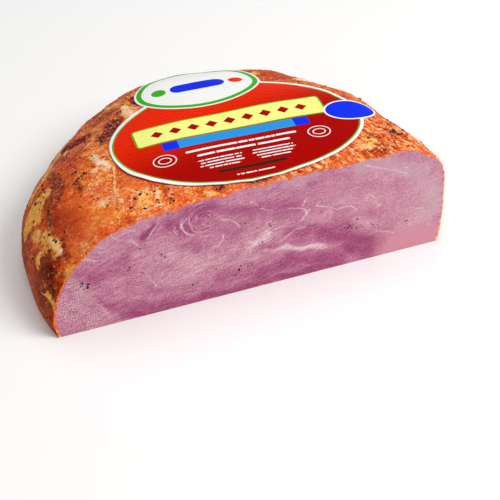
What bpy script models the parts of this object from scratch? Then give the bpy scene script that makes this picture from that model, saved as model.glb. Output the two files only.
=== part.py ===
"""Roast ham, cut straight across, with the printed label that lies on its top.

The ham is one solid: a low dome whose plan is half of an uneven disc. The cut
face stands upright along the straight edge, the rest is roasted skin with
broad lumps, and cracked pepper and herbs are fused to the skin. The label is
a thin curved sheet that follows the top: an oval with a broad lobe towards
the back and a small one at its right end.

All lengths are in metres. While the shapes are worked out, the origin is the
middle of the cut's lower edge: X runs along the cut, Y goes into the ham and
Z is up. At the end everything is shifted so that the origin is the middle of
the base.
"""
import math
import random

import bmesh
import bpy
import numpy as np
from mathutils import Matrix, Vector, noise
from mathutils.bvhtree import BVHTree

# ---- the dome ---------------------------------------------------------
CUT_WIDTH = 0.260       # lower edge of the cut face
CROWN_HEIGHT = 0.0855   # crown above the base, at the cut
CROWN_SINK = 0.58       # how much of its height the dome loses per metre behind the cut
# plan outline: bearing in degrees (0 = right end of the cut, 180 = left end)
# and the reach from the middle of the cut edge
OUTLINE = ((0, CUT_WIDTH / 2), (25, 0.1310), (50, 0.1580), (75, 0.1950),
           (100, 0.1965), (125, 0.1730), (150, 0.1545), (180, CUT_WIDTH / 2))
# how square the side is: exponents across and up of a superellipse
PROFILE_RIGHT = (6.0, 7.2)
PROFILE_BACK = (2.8, 2.4)
PROFILE_LEFT = (3.0, 2.6)
TUCK_HEIGHT = 0.012     # the side curls in over this height above the base
TUCK_AT_CUT = 0.0004    # by this much at the cut
TUCK_AT_BACK = 0.0040   # and by this much at the back

# ---- uneven skin ------------------------------------------------------
BROAD_LUMPS = (0.0032, 0.055)   # height and spacing
SMALL_LUMPS = (0.0012, 0.021)
LUMPS_UNDER_LABEL = 0.25        # share of the lumps that is left below the label
# single swellings and hollows: bearing, way down the side (0 crown, 1 base),
# radius and height
SWELLS = ((114, 0.70, 0.030, -0.0016),   # flat behind the left shoulder
          (128, 0.80, 0.020, 0.0018),    # left shoulder
          (156, 0.84, 0.034, 0.0016),    # full left flank
          (169, 0.77, 0.013, 0.0012),    # small knob near the cut
          (174, 0.90, 0.022, 0.0014),    # foot of the left end
          (150, 0.43, 0.012, -0.0008),   # seam at the label's left
          (36, 0.62, 0.028, 0.0016),     # full right end
          (66, 0.62, 0.022, -0.0016),    # flat of the right shoulder
          (96, 0.68, 0.030, 0.0022),     # rise at the back
          (6, 0.60, 0.018, -0.0008),     # worn corner at the cut's right
          (0, 0.503, 0.013, 0.0022),     # last rise of the cut's rim before that corner
          (0, 0.593, 0.009, -0.0014),    # and the dip beyond it
          (180, 0.55, 0.012, 0.0013))    # fuller rim of the cut at the left
GRID_ALONG = 72         # grid cells along the cut
GRID_BACK = 44          # grid cells from the cut to the back

# ---- label ------------------------------------------------------------
LABEL_CENTRE = (0.0086, 0.0655)
LABEL_HALF = (0.0793, 0.0622)    # half axes of the oval
LABEL_TURN = math.radians(-3.8)
LABEL_SQUARE = 0.93              # 1 is a true ellipse, lower is squarer
# ellipses that the rim takes in beside the oval: middle and half sizes, along
# and across the oval
LABEL_LOBES = ((-0.0070, 0.0660, 0.0435, 0.0340),    # broad lobe towards the back
               (0.0780, -0.0030, 0.0175, 0.0125),    # small lobe at the right end
               (0.0100, -0.0060, 0.0740, 0.0540))    # fuller right end
LABEL_THICK = 0.0005
LABEL_GAP = 0.0004
LABEL_RINGS = 8
LABEL_SPOKES = 72
LABEL_STEP = 0.0025     # the rim has more spokes where it steps out by more in a degree

# ---- pepper and herbs -------------------------------------------------
# clusters: bearing, way down the side, spread and number of flakes
CLUSTERS = ((131, 0.63, 0.009, 5), (142, 0.69, 0.011, 8), (149, 0.56, 0.008, 4),
            (147, 0.78, 0.010, 4), (161, 0.36, 0.007, 3), (168, 0.71, 0.008, 5),
            (174, 0.86, 0.010, 4), (14, 0.50, 0.013, 7), (8, 0.60, 0.009, 4),
            (22, 0.58, 0.009, 3))
SCATTERED = 30          # flakes spread over the rest of the skin
FLAKE_HALF = (0.0009, 0.0016)    # smallest and largest half length
FLAKE_APART = 0.0040
FLAKE_FROM_LABEL = 0.0042
SEED = 11


def remove_everything():
    for item in list(bpy.data.objects):
        bpy.data.objects.remove(item)


# ---- shape of the dome ------------------------------------------------
def reach(bearing):
    """Distance from the middle of the cut edge to the outline, smooth between its keys."""
    keys = np.radians([row[0] for row in OUTLINE])
    values = np.array([row[1] for row in OUTLINE])
    slopes = np.gradient(values, keys)
    i = np.clip(np.searchsorted(keys, bearing, side="right") - 1, 0, len(keys) - 2)
    span = keys[i + 1] - keys[i]
    t = (bearing - keys[i]) / span
    return ((2 * t**3 - 3 * t**2 + 1) * values[i] + (t**3 - 2 * t**2 + t) * span * slopes[i]
            + (3 * t**2 - 2 * t**3) * values[i + 1] + (t**3 - t**2) * span * slopes[i + 1])


def exponents(bearing):
    """Superellipse exponents of the side at a bearing."""
    c, s = math.cos(bearing), math.sin(bearing)
    side = PROFILE_RIGHT if c > 0 else PROFILE_LEFT
    return tuple(s * s * back + c * c * end for back, end in zip(PROFILE_BACK, side))


def profile(bearing, steps=1200):
    """The side at a bearing, as reaches and heights at even lengths from crown to base."""
    across, up = exponents(bearing)
    turn = np.linspace(0.0, math.pi / 2, steps)
    out = reach(bearing) * np.sin(turn) ** (2 / across)
    rise = CROWN_HEIGHT * np.maximum(np.cos(turn), 0.0) ** (2 / up)
    rise = rise * (1 - CROWN_SINK * out * math.sin(bearing))
    rise[-1] = 0.0
    tuck = TUCK_AT_CUT + (TUCK_AT_BACK - TUCK_AT_CUT) * math.sin(bearing)
    out = out - tuck * np.clip(1 - rise / TUCK_HEIGHT, 0, 1) ** 2
    length = np.concatenate([[0.0], np.cumsum(np.hypot(np.diff(out), np.diff(rise)))])
    return length / length[-1], out, rise


def skin_point(bearing, down):
    """Point of the smooth dome at a bearing, and a part of the way from crown to base."""
    length, out, rise = profile(bearing)
    r = float(np.interp(down, length, out))
    return Vector((r * math.cos(bearing), r * math.sin(bearing), float(np.interp(down, length, rise))))


def disc_place(u, v):
    """Map a grid place (u in -1..1, v in 0..1) to a bearing and a way down the side."""
    x = u * math.sqrt(1 - v * v / 2)
    y = v * math.sqrt(1 - u * u / 2)
    return math.atan2(y, x), min(1.0, math.hypot(x, y))


def label_axes(x, y):
    """Plan place from the label's middle, along and across the oval."""
    dx, dy = x - LABEL_CENTRE[0], y - LABEL_CENTRE[1]
    c, s = math.cos(LABEL_TURN), math.sin(LABEL_TURN)
    return dx * c + dy * s, -dx * s + dy * c


def oval_reach(turn):
    """Distance from the label's middle to the oval in a direction from its long axis."""
    power = 2 / LABEL_SQUARE
    along, across = abs(math.cos(turn)) / LABEL_HALF[0], abs(math.sin(turn)) / LABEL_HALF[1]
    return (along**power + across**power) ** (-1 / power)


def label_reach(turn):
    """The same to the label's rim, which takes in the lobes."""
    c, s = math.cos(turn), math.sin(turn)
    reached = oval_reach(turn)
    for x, y, along, across in LABEL_LOBES:
        # far end of the chord that the direction cuts out of the lobe's ellipse
        p = (c / along) ** 2 + (s / across) ** 2
        q = c * x / along**2 + s * y / across**2
        under = q * q - p * ((x / along) ** 2 + (y / across) ** 2 - 1)
        if under > 0:
            reached = max(reached, (q + math.sqrt(under)) / p)
    return reached


def place_in(reach_of, x, y):
    """1 on a rim around the label's middle, less inside it."""
    along, across = label_axes(x, y)
    return math.hypot(along, across) / reach_of(math.atan2(across, along))


def lumps(point, swells):
    """How far the skin stands out of the smooth dome."""
    height, spacing = BROAD_LUMPS
    out = height * noise.noise(point / spacing + Vector((3.1, 7.7, 1.9)))
    height, spacing = SMALL_LUMPS
    out += height * noise.noise(point / spacing + Vector((11.3, 2.2, 5.8)))
    rim = min(1.0, max(0.0, (place_in(oval_reach, point.x, point.y) - 1.0) / 0.35))
    out *= LUMPS_UNDER_LABEL + (1 - LUMPS_UNDER_LABEL) * rim
    for centre, radius, height in swells:
        out += height * math.exp(-((point - centre).length / radius) ** 2)
    return out * min(1.0, point.z / TUCK_HEIGHT)


# ---- the solids -------------------------------------------------------
def skin_grid(mesh):
    """Vertices and faces of the skin; the first row lies in the cut plane."""
    rows = []
    for j in range(GRID_BACK + 1):
        row = []
        for i in range(GRID_ALONG + 1):
            bearing, down = disc_place(2 * i / GRID_ALONG - 1, j / GRID_BACK)
            point = skin_point(bearing, down)
            if j == 0:
                point.y = 0.0
            row.append(mesh.verts.new(point))
        rows.append(row)
    for j in range(GRID_BACK):
        for i in range(GRID_ALONG):
            mesh.faces.new((rows[j][i], rows[j][i + 1], rows[j + 1][i + 1], rows[j + 1][i]))
    return rows


def push_lumps(mesh):
    """Move the skin's vertices out by its lumps; the cut's rim stays in the cut plane."""
    swells = [(skin_point(math.radians(b), d), radius, height) for b, d, radius, height in SWELLS]
    mesh.normal_update()
    moves = [(vert, vert.normal.copy(), lumps(vert.co, swells)) for vert in mesh.verts]
    for vert, normal, out in moves:
        if vert.co.y == 0.0:
            normal.y = 0.0
        vert.co += normal * out


def dome_mesh():
    mesh = bmesh.new()
    rows = skin_grid(mesh)
    push_lumps(mesh)
    cut_rim = rows[0]
    base_rim = ([row[0] for row in rows] + rows[-1][1:]
                + [row[-1] for row in reversed(rows[:-1])])
    mesh.faces.new(list(reversed(cut_rim)))
    mesh.faces.new(base_rim)
    mesh.normal_update()
    bmesh.ops.triangulate(mesh, faces=mesh.faces[:])
    bmesh.ops.recalc_face_normals(mesh, faces=mesh.faces[:])
    return mesh


def object_from(mesh, name, material):
    data = bpy.data.meshes.new(name)
    mesh.to_mesh(data)
    mesh.free()
    item = bpy.data.objects.new(name, data)
    if material:
        data.materials.append(material)
    bpy.context.scene.collection.objects.link(item)
    return item


def flake_places(draw):
    """Points of the skin for the flakes: the clusters first, then the rest."""
    places = []
    rim = [label_spot(math.tau * k / 180, 1.0) for k in range(180)]

    def try_at(bearing, down):
        if not (0.0 < bearing < math.pi and 0.08 < down < 0.94):
            return False
        point = skin_point(bearing, down)
        if point.y < 0.0035 or place_in(label_reach, point.x, point.y) < 1.0:
            return False
        if any((point.xy - spot).length < FLAKE_FROM_LABEL for spot in rim):
            return False
        if any((point - other).length < FLAKE_APART for other in places):
            return False
        places.append(point)
        return True

    for bearing, down, spread, number in CLUSTERS:
        left, tries = number, 0
        while left and tries < 400:
            tries += 1
            aside = draw.gauss(0, spread) / 0.13
            along = draw.gauss(0, spread) / 0.20
            left -= try_at(math.radians(bearing) + aside, down + along)
    left, tries = SCATTERED, 0
    while left and tries < 4000:
        tries += 1
        bearing = draw.uniform(0.05, math.pi - 0.05)
        down = math.sqrt(draw.uniform(0.10, 0.85))
        near = skin_point(bearing, down)
        if any((near - other).length < 0.016 for other in places):
            continue
        left -= try_at(bearing, down)
    return places


def flake(point, normal, draw):
    """A small angular flake, sunk to its waist in the skin."""
    mesh = bmesh.new()
    bmesh.ops.create_icosphere(mesh, subdivisions=1, radius=1.0)
    half = draw.uniform(*FLAKE_HALF)
    size = Vector((half, half * draw.uniform(0.55, 0.8), half * draw.uniform(0.45, 0.6)))
    for vert in mesh.verts:
        vert.co *= draw.uniform(0.85, 1.15)
    turn = normal.to_track_quat("Z", "Y").to_matrix().to_4x4()
    spin = Matrix.Rotation(draw.uniform(0, math.tau), 4, "Z")
    mesh.transform(Matrix.Translation(point) @ turn @ spin @ Matrix.Diagonal(size).to_4x4())
    bmesh.ops.triangulate(mesh, faces=mesh.faces[:])
    return object_from(mesh, "flake", None)


def fuse(item, pieces):
    """Join the pieces to the item by one Boolean union on a collection."""
    group = bpy.data.collections.new("flakes")
    for piece in pieces:
        group.objects.link(piece)
    union = item.modifiers.new("flakes", "BOOLEAN")
    union.operation = "UNION"
    union.solver = "EXACT"
    union.operand_type = "COLLECTION"
    union.collection = group
    view = bpy.context.evaluated_depsgraph_get()
    joined = bpy.data.meshes.new_from_object(item.evaluated_get(view))
    item.modifiers.clear()
    item.data = joined
    for piece in pieces:
        bpy.data.objects.remove(piece)
    bpy.data.collections.remove(group)


def tidy_ham(item):
    """Merge the union's doubled points, drop loose scraps and triangulate."""
    mesh = bmesh.new()
    mesh.from_mesh(item.data)
    bmesh.ops.remove_doubles(mesh, verts=mesh.verts[:], dist=0.00002)
    bmesh.ops.dissolve_degenerate(mesh, edges=mesh.edges[:], dist=0.00002)
    seen, bodies = set(), []
    for start in mesh.verts:
        if start in seen:
            continue
        body, open_ends = [], [start]
        seen.add(start)
        while open_ends:
            vert = open_ends.pop()
            body.append(vert)
            for edge in vert.link_edges:
                other = edge.other_vert(vert)
                if other not in seen:
                    seen.add(other)
                    open_ends.append(other)
        bodies.append(body)
    bodies.sort(key=len)
    for body in bodies[:-1]:
        bmesh.ops.delete(mesh, geom=body, context="VERTS")
    bmesh.ops.triangulate(mesh, faces=mesh.faces[:])
    mesh.to_mesh(item.data)
    mesh.free()


def top_of(item):
    """Tree of the item's triangles, for finding its surface."""
    mesh = bmesh.new()
    mesh.from_mesh(item.data)
    tree = BVHTree.FromBMesh(mesh)
    mesh.free()
    return tree


def label_spot(turn, share):
    """Plan place in a direction from the label's middle, at a share of the way to its rim."""
    reached = label_reach(turn) * share
    turn += LABEL_TURN
    return Vector(LABEL_CENTRE) + reached * Vector((math.cos(turn), math.sin(turn)))


def label_turns():
    """Directions of the label's spokes: even ones, and more where the rim steps out."""
    steps = set()
    for turn in range(360):
        if abs(label_reach(math.radians(turn)) - label_reach(math.radians(turn + 1))) > LABEL_STEP:
            steps |= {turn, turn + 1}
    for k in range(LABEL_SPOKES):
        turn = 360 * k / LABEL_SPOKES
        if all(abs(turn - step) > 1 for step in steps):
            steps.add(turn)
    return [math.radians(turn) for turn in sorted(steps)]


def above_skin(tree, place, lift):
    """Point at a height over the skin at a plan place, square to the slope."""
    spot, slope = None, Vector()
    for x, y in ((0, 0), (0.004, 0), (-0.004, 0), (0, 0.004), (0, -0.004)):
        hit, normal, _, _ = tree.ray_cast(Vector((place.x + x, place.y + y, 1.0)), Vector((0, 0, -1)))
        if hit is not None:
            spot = spot or hit
            slope += normal
    return spot + slope.normalized() * lift


def label_net():
    """Plan places of the label, ring by ring from its middle, and the triangles between them."""
    turns = label_turns()
    spokes = len(turns)
    places = [Vector(LABEL_CENTRE)]
    for ring in range(1, LABEL_RINGS + 1):
        places += [label_spot(turn, ring / LABEL_RINGS) for turn in turns]
    triangles = []
    for k in range(spokes):
        n = (k + 1) % spokes
        triangles.append((0, 1 + k, 1 + n))
        for ring in range(1, LABEL_RINGS):
            outer = 1 + ring * spokes
            inner = outer - spokes
            triangles.append((inner + k, outer + k, outer + n))
            triangles.append((inner + k, outer + n, inner + n))
    return places, triangles, spokes


def clear_lifts(tree, places, triangles):
    """How far each place lies over the skin, with every triangle between them clear of it."""
    lifts = [LABEL_GAP] * len(places)
    for _ in range(3):
        spots = [above_skin(tree, place, lift) for place, lift in zip(places, lifts)]
        more = [0.0] * len(places)
        for corners in triangles:
            for shares in ((1 / 3, 1 / 3, 1 / 3), (0.5, 0.5, 0), (0.5, 0, 0.5), (0, 0.5, 0.5)):
                spot = sum((spots[k] * share for k, share in zip(corners, shares)), Vector())
                skin = tree.ray_cast(Vector((spot.x, spot.y, 1.0)), Vector((0, 0, -1)))[0]
                short = LABEL_GAP / 2 - (spot.z - skin.z)
                for k in corners:
                    more[k] = max(more[k], short)
        lifts = [lift + extra for lift, extra in zip(lifts, more)]
    return lifts


def label_mesh(tree):
    """A sheet over the top of the ham, both faces split into triangles alike."""
    places, triangles, spokes = label_net()
    lifts = clear_lifts(tree, places, triangles)
    mesh = bmesh.new()
    under = [mesh.verts.new(above_skin(tree, place, lift)) for place, lift in zip(places, lifts)]
    over = [mesh.verts.new(above_skin(tree, place, lift + LABEL_THICK))
            for place, lift in zip(places, lifts)]
    for a, b, c in triangles:
        mesh.faces.new((under[c], under[b], under[a]))
        mesh.faces.new((over[a], over[b], over[c]))
    under, over = under[-spokes:], over[-spokes:]
    for k in range(spokes):
        n = (k + 1) % spokes
        mesh.faces.new((under[k], under[n], over[n]))
        mesh.faces.new((under[k], over[n], over[k]))
    mesh.normal_update()
    return mesh


def material(name, colour, roughness, metallic=0.0):
    made = bpy.data.materials.new(name)
    made.use_nodes = True
    shader = made.node_tree.nodes["Principled BSDF"]
    shader.inputs["Base Color"].default_value = (*colour, 1.0)
    shader.inputs["Roughness"].default_value = roughness
    shader.inputs["Metallic"].default_value = metallic
    return made


def shade(item, angle):
    item.data.shade_smooth()
    item.data.set_sharp_from_angle(angle=math.radians(angle))


def stand_on_origin(items, base):
    """Shift the meshes so that the middle of the base's box is the origin."""
    spots = [vert.co for vert in base.data.vertices]
    middle = [(min(p[k] for p in spots) + max(p[k] for p in spots)) / 2 for k in (0, 1)]
    low = min(p[2] for p in spots)
    for item in items:
        item.data.transform(Matrix.Translation((-middle[0], -middle[1], -low)))


def build():
    remove_everything()
    draw = random.Random(SEED)
    roasted = material("roasted_skin", (0.62, 0.21, 0.06), 0.42)
    printed = material("label_print", (0.62, 0.05, 0.02), 0.35)
    ham = object_from(dome_mesh(), "ham", roasted)
    tree = top_of(ham)
    flakes = []
    for place in flake_places(draw):
        point, normal, _, _ = tree.find_nearest(place)
        flakes.append(flake(point, normal, draw))
    fuse(ham, flakes)
    tidy_ham(ham)
    label = object_from(label_mesh(top_of(ham)), "label", printed)
    stand_on_origin([ham, label], ham)
    shade(ham, 35)
    shade(label, 50)


build()
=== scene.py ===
"""Looks of the roast ham: its lumpy skin, the cut face, the flakes and the label.

Sizes are in metres, and most places are given in millimetres in the ham's own
frame: x from the middle of the cut's lower edge, y into the ham and z up.
Each fine surface repeats the solid's form from the same named values and adds
the relief and colours that are too fine for the solid.
"""

import math
import random

import bmesh
import bpy
import numpy as np
from mathutils import Matrix, Vector, noise
from mathutils.bvhtree import BVHTree
from mathutils.geometry import delaunay_2d_cdt

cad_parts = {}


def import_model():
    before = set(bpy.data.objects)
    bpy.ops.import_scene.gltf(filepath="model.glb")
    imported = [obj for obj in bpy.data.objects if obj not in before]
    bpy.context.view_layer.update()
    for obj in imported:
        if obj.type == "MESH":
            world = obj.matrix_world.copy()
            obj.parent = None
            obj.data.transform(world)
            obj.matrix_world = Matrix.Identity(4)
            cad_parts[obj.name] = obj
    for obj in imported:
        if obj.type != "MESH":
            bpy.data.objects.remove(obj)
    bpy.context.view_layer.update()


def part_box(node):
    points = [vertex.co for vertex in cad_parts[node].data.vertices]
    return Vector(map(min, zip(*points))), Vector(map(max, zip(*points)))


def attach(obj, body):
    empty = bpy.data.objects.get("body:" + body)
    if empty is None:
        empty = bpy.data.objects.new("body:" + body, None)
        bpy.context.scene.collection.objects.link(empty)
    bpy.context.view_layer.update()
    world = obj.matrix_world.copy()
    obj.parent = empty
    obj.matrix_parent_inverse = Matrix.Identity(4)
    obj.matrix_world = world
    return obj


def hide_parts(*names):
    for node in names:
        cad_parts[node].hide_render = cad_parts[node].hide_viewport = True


MM = 0.001

# ---- the dome, as in the solid ----
CUT_WIDTH = 0.260
CROWN_HEIGHT = 0.0855
CROWN_SINK = 0.58
OUTLINE = ((0, CUT_WIDTH / 2), (25, 0.1310), (50, 0.1580), (75, 0.1950),
           (100, 0.1965), (125, 0.1730), (150, 0.1545), (180, CUT_WIDTH / 2))
PROFILE_RIGHT = (6.0, 7.2)
PROFILE_BACK = (2.8, 2.4)
PROFILE_LEFT = (3.0, 2.6)
TUCK_HEIGHT = 0.012
TUCK_AT_CUT = 0.0004
TUCK_AT_BACK = 0.0040
BROAD_LUMPS = (0.0032, 0.055)       # height, spacing
SMALL_LUMPS = (0.0012, 0.021)
LUMPS_UNDER_LABEL = 0.25
# single swells: bearing in degrees, way down from the crown (0 to 1), radius, height
SWELLS = ((114, 0.70, 0.030, -0.0016), (128, 0.80, 0.020, 0.0018), (156, 0.84, 0.034, 0.0016),
          (169, 0.77, 0.013, 0.0012), (174, 0.90, 0.022, 0.0014), (150, 0.43, 0.012, -0.0008),
          (36, 0.62, 0.028, 0.0016), (66, 0.62, 0.022, -0.0016), (96, 0.68, 0.030, 0.0022),
          (6, 0.60, 0.018, -0.0008), (0, 0.503, 0.013, 0.0022), (0, 0.593, 0.009, -0.0014),
          (180, 0.55, 0.012, 0.0013))
LABEL_CENTRE = (0.0086, 0.0655)
LABEL_HALF = (0.0793, 0.0622)
LABEL_TURN = math.radians(-3.8)
LABEL_SQUARE = 0.93
# ellipses that widen the label's oval: middle and half sizes, along and across it
LABEL_LOBES = ((-0.0070, 0.0660, 0.0435, 0.0340),       # broad lobe at the back
               (0.0780, -0.0030, 0.0175, 0.0125),       # small lobe at the right end
               (0.0100, -0.0060, 0.0740, 0.0540))       # fuller front right quarter
# flakes that the solid has too, in clusters: bearing in degrees, way down, spread, number
CLUSTERS = ((131, 0.63, 0.009, 5), (142, 0.69, 0.011, 8), (149, 0.56, 0.008, 4),
            (147, 0.78, 0.010, 4), (161, 0.36, 0.007, 3), (168, 0.71, 0.008, 5),
            (174, 0.86, 0.010, 4), (14, 0.50, 0.013, 7), (8, 0.60, 0.009, 4),
            (22, 0.58, 0.009, 3))
SCATTERED = 30
SCATTERED_APART = 0.016
FLAKE_HALF = (0.0009, 0.0016)
FLAKE_APART = 0.0040
FLAKE_FROM_LABEL = 0.0042
PER_RADIAN = 0.13       # about how many metres of skin a radian of bearing takes
PER_WAY_DOWN = 0.20     # and the whole way from the crown to the base
SEED = 11

# ---- fine surface ----
SKIN_ALONG = 344        # cells along the cut
SKIN_BACK = 208         # cells from the cut to the back
FACE_CELL = 1.3 * MM
FACE_MIDDLE = 130       # mm from the cut's left lower corner to its middle
FACE_LEFT = 127.3       # and to x = 0 once the ham is in its place
VEIN_STEP = 1.2         # mm between points of a vein
CDT_INSIDE = 1          # triangles inside the outline only
CDT_JOIN = 1e-7         # points that are closer than this are one
SMOOTH_UNDER = math.radians(50)
LABEL_RINGS = 44
LABEL_SPOKES = 240
LABEL_STEP = 0.0025     # further spokes where the rim steps out by more in a degree
LABEL_GAP = 0.00025
LABEL_THICK = 0.00025
HIDDEN_PATCHES = 46     # further patches where the photo shows nothing
PATCH_SEED = 5
FINE_PER_CLUSTER = 3    # finer flakes for each one of the solid
FINE_SPREAD = 1.3       # and how much wider they lie
FINE_SCATTERED = 170
FINE_SEED = 23

# ---- the skin's colours: places in mm ----
# areas of each kind: radius, points of the line through them
AREAS = {
    "char_and_shadow": (
        (5.6, (-57, 118, 65), (-59, 111, 66), (-66, 98, 69)),
        (5.8, (-79, 120, 55), (-85, 119, 51), (-89, 120, 48)),
        (2.8, (-37, 141, 62), (-37, 127, 66)), (2.2, (103, 27, 80), (105, 22, 81)),
        # painted shadow: the next two areas darken the skin just in front of the label's rim, under
        # its lifted edge
        (1.8, (-23, 5, 85), (-20, 5, 85)), (1.6, (-4, 4.5, 85), (2, 4.5, 85), (11, 4, 86)),
    ),
    "brown": (
        (4.8, (-108, 89, 54), (-106, 67, 62), (-110, 58, 62)),
        (5.0, (-66, 133, 54), (-59, 138, 56), (-52, 131, 61)),
        (2.2, (-71, 118, 59), (-70, 102, 66), (-72, 90, 69)),
        (2.4, (-100, 124, 38), (-96, 113, 50), (-95, 98, 57)),
        (2.6, (-133, 56, 34), (-135, 56, 28), (-136, 56, 22)),
        (2.4, (-136, 36, 14), (-136, 21, 17), (-134, 12, 14), (-133, 10, 4)),
        (2.2, (-135, 26, 25), (-134, 19, 27)),
        (2.6, (-118, 52, 56), (-120, 45, 55), (-119, 34, 57)),
        (3.0, (-117, 22, 58), (-116, 10, 57)), (3.0, (-98, 60, 67), (-95, 51, 69)),
        (2.2, (107, 18, 81), (111, 13, 80)), (1.8, (-51, 18, 83), (-51, 9, 83)),
    ),
    "gold": (
        (7.0, (-117, 70, 55), (-123, 68, 49), (-127, 65, 44), (-131, 62, 39)),
        (5.0, (-127, 61, 45), (-125, 58, 48)),
        (3.6, (-129, 46, 45), (-125, 38, 51), (-122, 27, 54), (-121, 18, 55)),
        (2.4, (-126, 26, 50), (-130, 28, 45), (-132, 26, 40)), (3.0, (-118, 2, 51), (-115, 1, 53)),
        (3.4, (-93, 127, 44), (-103, 110, 45), (-111, 95, 49), (-118, 87, 47), (-124, 82, 43)),
        (2.2, (-131, 8, 29), (-129, 2, 29), (-127, 1, 26)),
        (1.7, (-75, 122, 55), (-71, 125, 55), (-69, 121, 58)), (3.0, (-29, 4, 85), (-27, 1, 85)),
        (3.6, (-64, 19, 82), (-68, 12, 81)), (2.2, (74, 20, 84), (77, 13, 84), (85, 18, 83)),
        (2.4, (-54, 148, 53), (-49, 147, 56), (-45, 143, 59)),
    ),
    "fat": (
        (3.4, (-80, 80, 70), (-79, 69, 73), (-77, 60, 75), (-83, 62, 73)),
        (3.8, (-47, 134, 62), (-46, 122, 66), (-44, 113, 69)), (1.9, (-77, 61, 75), (-85, 64, 72)),
        (2.2, (-122, 28, 54), (-120, 16, 55)), (1.6, (-79, 24, 79), (-79, 20, 79)),
        (2.0, (-56, 20, 82), (-57, 15, 82)), (2.0, (-58, 6, 82), (-61, 4, 82)),
        (1.1, (95, 3, 86), (97, 4, 85)), (0.9, (85, 3, 85), (87, 1, 85)),
        (1.5, (-90, 117, 51), (-90, 108, 55)),
    ),
}
# pale seams: half width, points
SEAMS = (
    (0.95, (-73, 58, 76), (-75, 48, 76), (-77, 40, 77), (-78, 32, 78), (-79, 25, 79), (-79, 17, 79)),
    (0.65, (-76, 33, 78), (-72, 30, 80), (-69, 25, 81), (-66, 22, 81), (-64, 17, 82)),
    (0.5, (-75, 47, 76), (-71, 46, 77)), (1.1, (-122, 30, 54), (-121, 22, 54)),
    (0.9, (-130, 56, 42), (-131, 48, 43), (-127, 38, 48), (-124, 35, 52)),
    (1.3, (-125, 24, 51), (-129, 28, 46), (-132, 28, 41), (-132, 25, 39)),
    (0.7, (-134, 15, 26), (-131, 7, 28), (-128, 1, 29)),
    (0.7, (83, 13, 84), (87, 6, 85), (92, 8, 85)), (0.6, (75, 22, 84), (78, 14, 84)),
    (0.6, (94, 11, 84), (89, 4, 85)),
)
# how bright and orange the skin is: middle, radius, shift
TONES = (
    ((-94, 26, 73), 12, 0.04), ((-76, 86, 70), 9, 0.22), ((-88, 10, 76), 7, 0.17),
    ((-86, 25, 76), 7, 0.12), ((-108, 30, 64), 12, -0.13), ((-116, 42, 59), 8, -0.18),
    ((-98, 14, 70), 9, 0.06), ((-103, 6, 67), 6, 0.06), ((-68, 31, 80), 10, 0.07),
    ((-67, 8, 81), 8, 0.12), ((-51, 11, 83), 6, -0.05), ((-6, 4, 86), 30, 0.1),
    ((-84, 56, 73), 10, 0.06), ((-79, 14, 78), 5, 0.08), ((-112, 6, 56), 12, -0.05),
    ((-119, 5, 51), 4, 0.14), ((-127, 14, 44), 7, -0.28), ((-132, 42, 41), 7, -0.1),
    # the spots at (-70, 110, 62) and (-80, 112, 58) are painted light: they brighten the back of the
    # left flank, where the lamps reach it weakly
    ((-111, 68, 58), 10, -0.14), ((-90, 80, 66), 12, -0.04), ((-70, 110, 62), 8, 0.14),
    ((-80, 112, 58), 14, 0.16), ((-70, 24, 80), 8, 0.07), ((-134, 20, 26), 10, -0.08),
    ((-133, 8, 17), 10, -0.12), ((-84, 95, 64), 14, -0.03), ((-49, 147, 56), 9, 0.26),
    ((-63, 90, 71), 7, -0.2), ((-113, 38, 61), 8, -0.06), ((-114, 61, 59), 7, -0.09),
    ((-54, 9, 83), 6, -0.08), ((-42, 12, 83), 6, 0.1), ((-110, 30, 62), 9, -0.05),
    ((64, 6, 85), 8, 0.03), ((98, 14, 83), 6, 0.1), ((90, 16, 83), 14, -0.07),
    ((76, 10, 84), 7, -0.04), ((102, 20, 81), 8, -0.12), ((100, 50, 74), 16, -0.08),
    ((62, 126, 66), 16, -0.14), ((10, 150, 60), 50, -0.12),
)
# smooth, cracked and fibrous parts: middle, radius
CALM = (((-106, 34, 66), 17), ((-96, 14, 71), 13), ((-112, 14, 58), 10), ((-70, 30, 80), 7))
CRACKED = (((-50, 22, 81), 24), ((-74, 95, 70), 12), ((-20, 4, 84), 16))
FIBROUS = (((96, 22, 82), 46), ((40, 4, 84), 30), ((120, 60, 60), 34))
SKIN_SPECKS = (
    (-70, 18, 81), (-67, 7, 81), (-74, 12, 80), (-58, 11, 82), (-49, 18, 83), (-48, 12, 83),
    (-49, 6, 83), (-50, 9, 83), (-57, 19, 82), (96, 33, 81), (102, 37, 79), (78, 24, 83),
    (91, 20, 83), (104, 26, 80), (109, 18, 80), (103, 5, 84), (-84, 79, 69), (-81, 81, 69),
    (-81, 76, 71), (-90, 64, 70), (-92, 64, 69), (-103, 84, 58), (-110, 72, 58), (-101, 63, 65),
    (-96, 62, 68), (-117, 69, 55), (-117, 53, 57), (-92, 39, 73), (-89, 34, 74), (-120, 26, 56),
    (-124, 35, 52), (-124, 22, 52), (-113, 26, 61), (-86, 23, 76), (-131, 67, 37), (-135, 41, 32),
    (-130, 19, 42), (-129, 9, 37), (-135, 22, 25), (-109, 69, 60), (-103, 80, 60),
)

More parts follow.
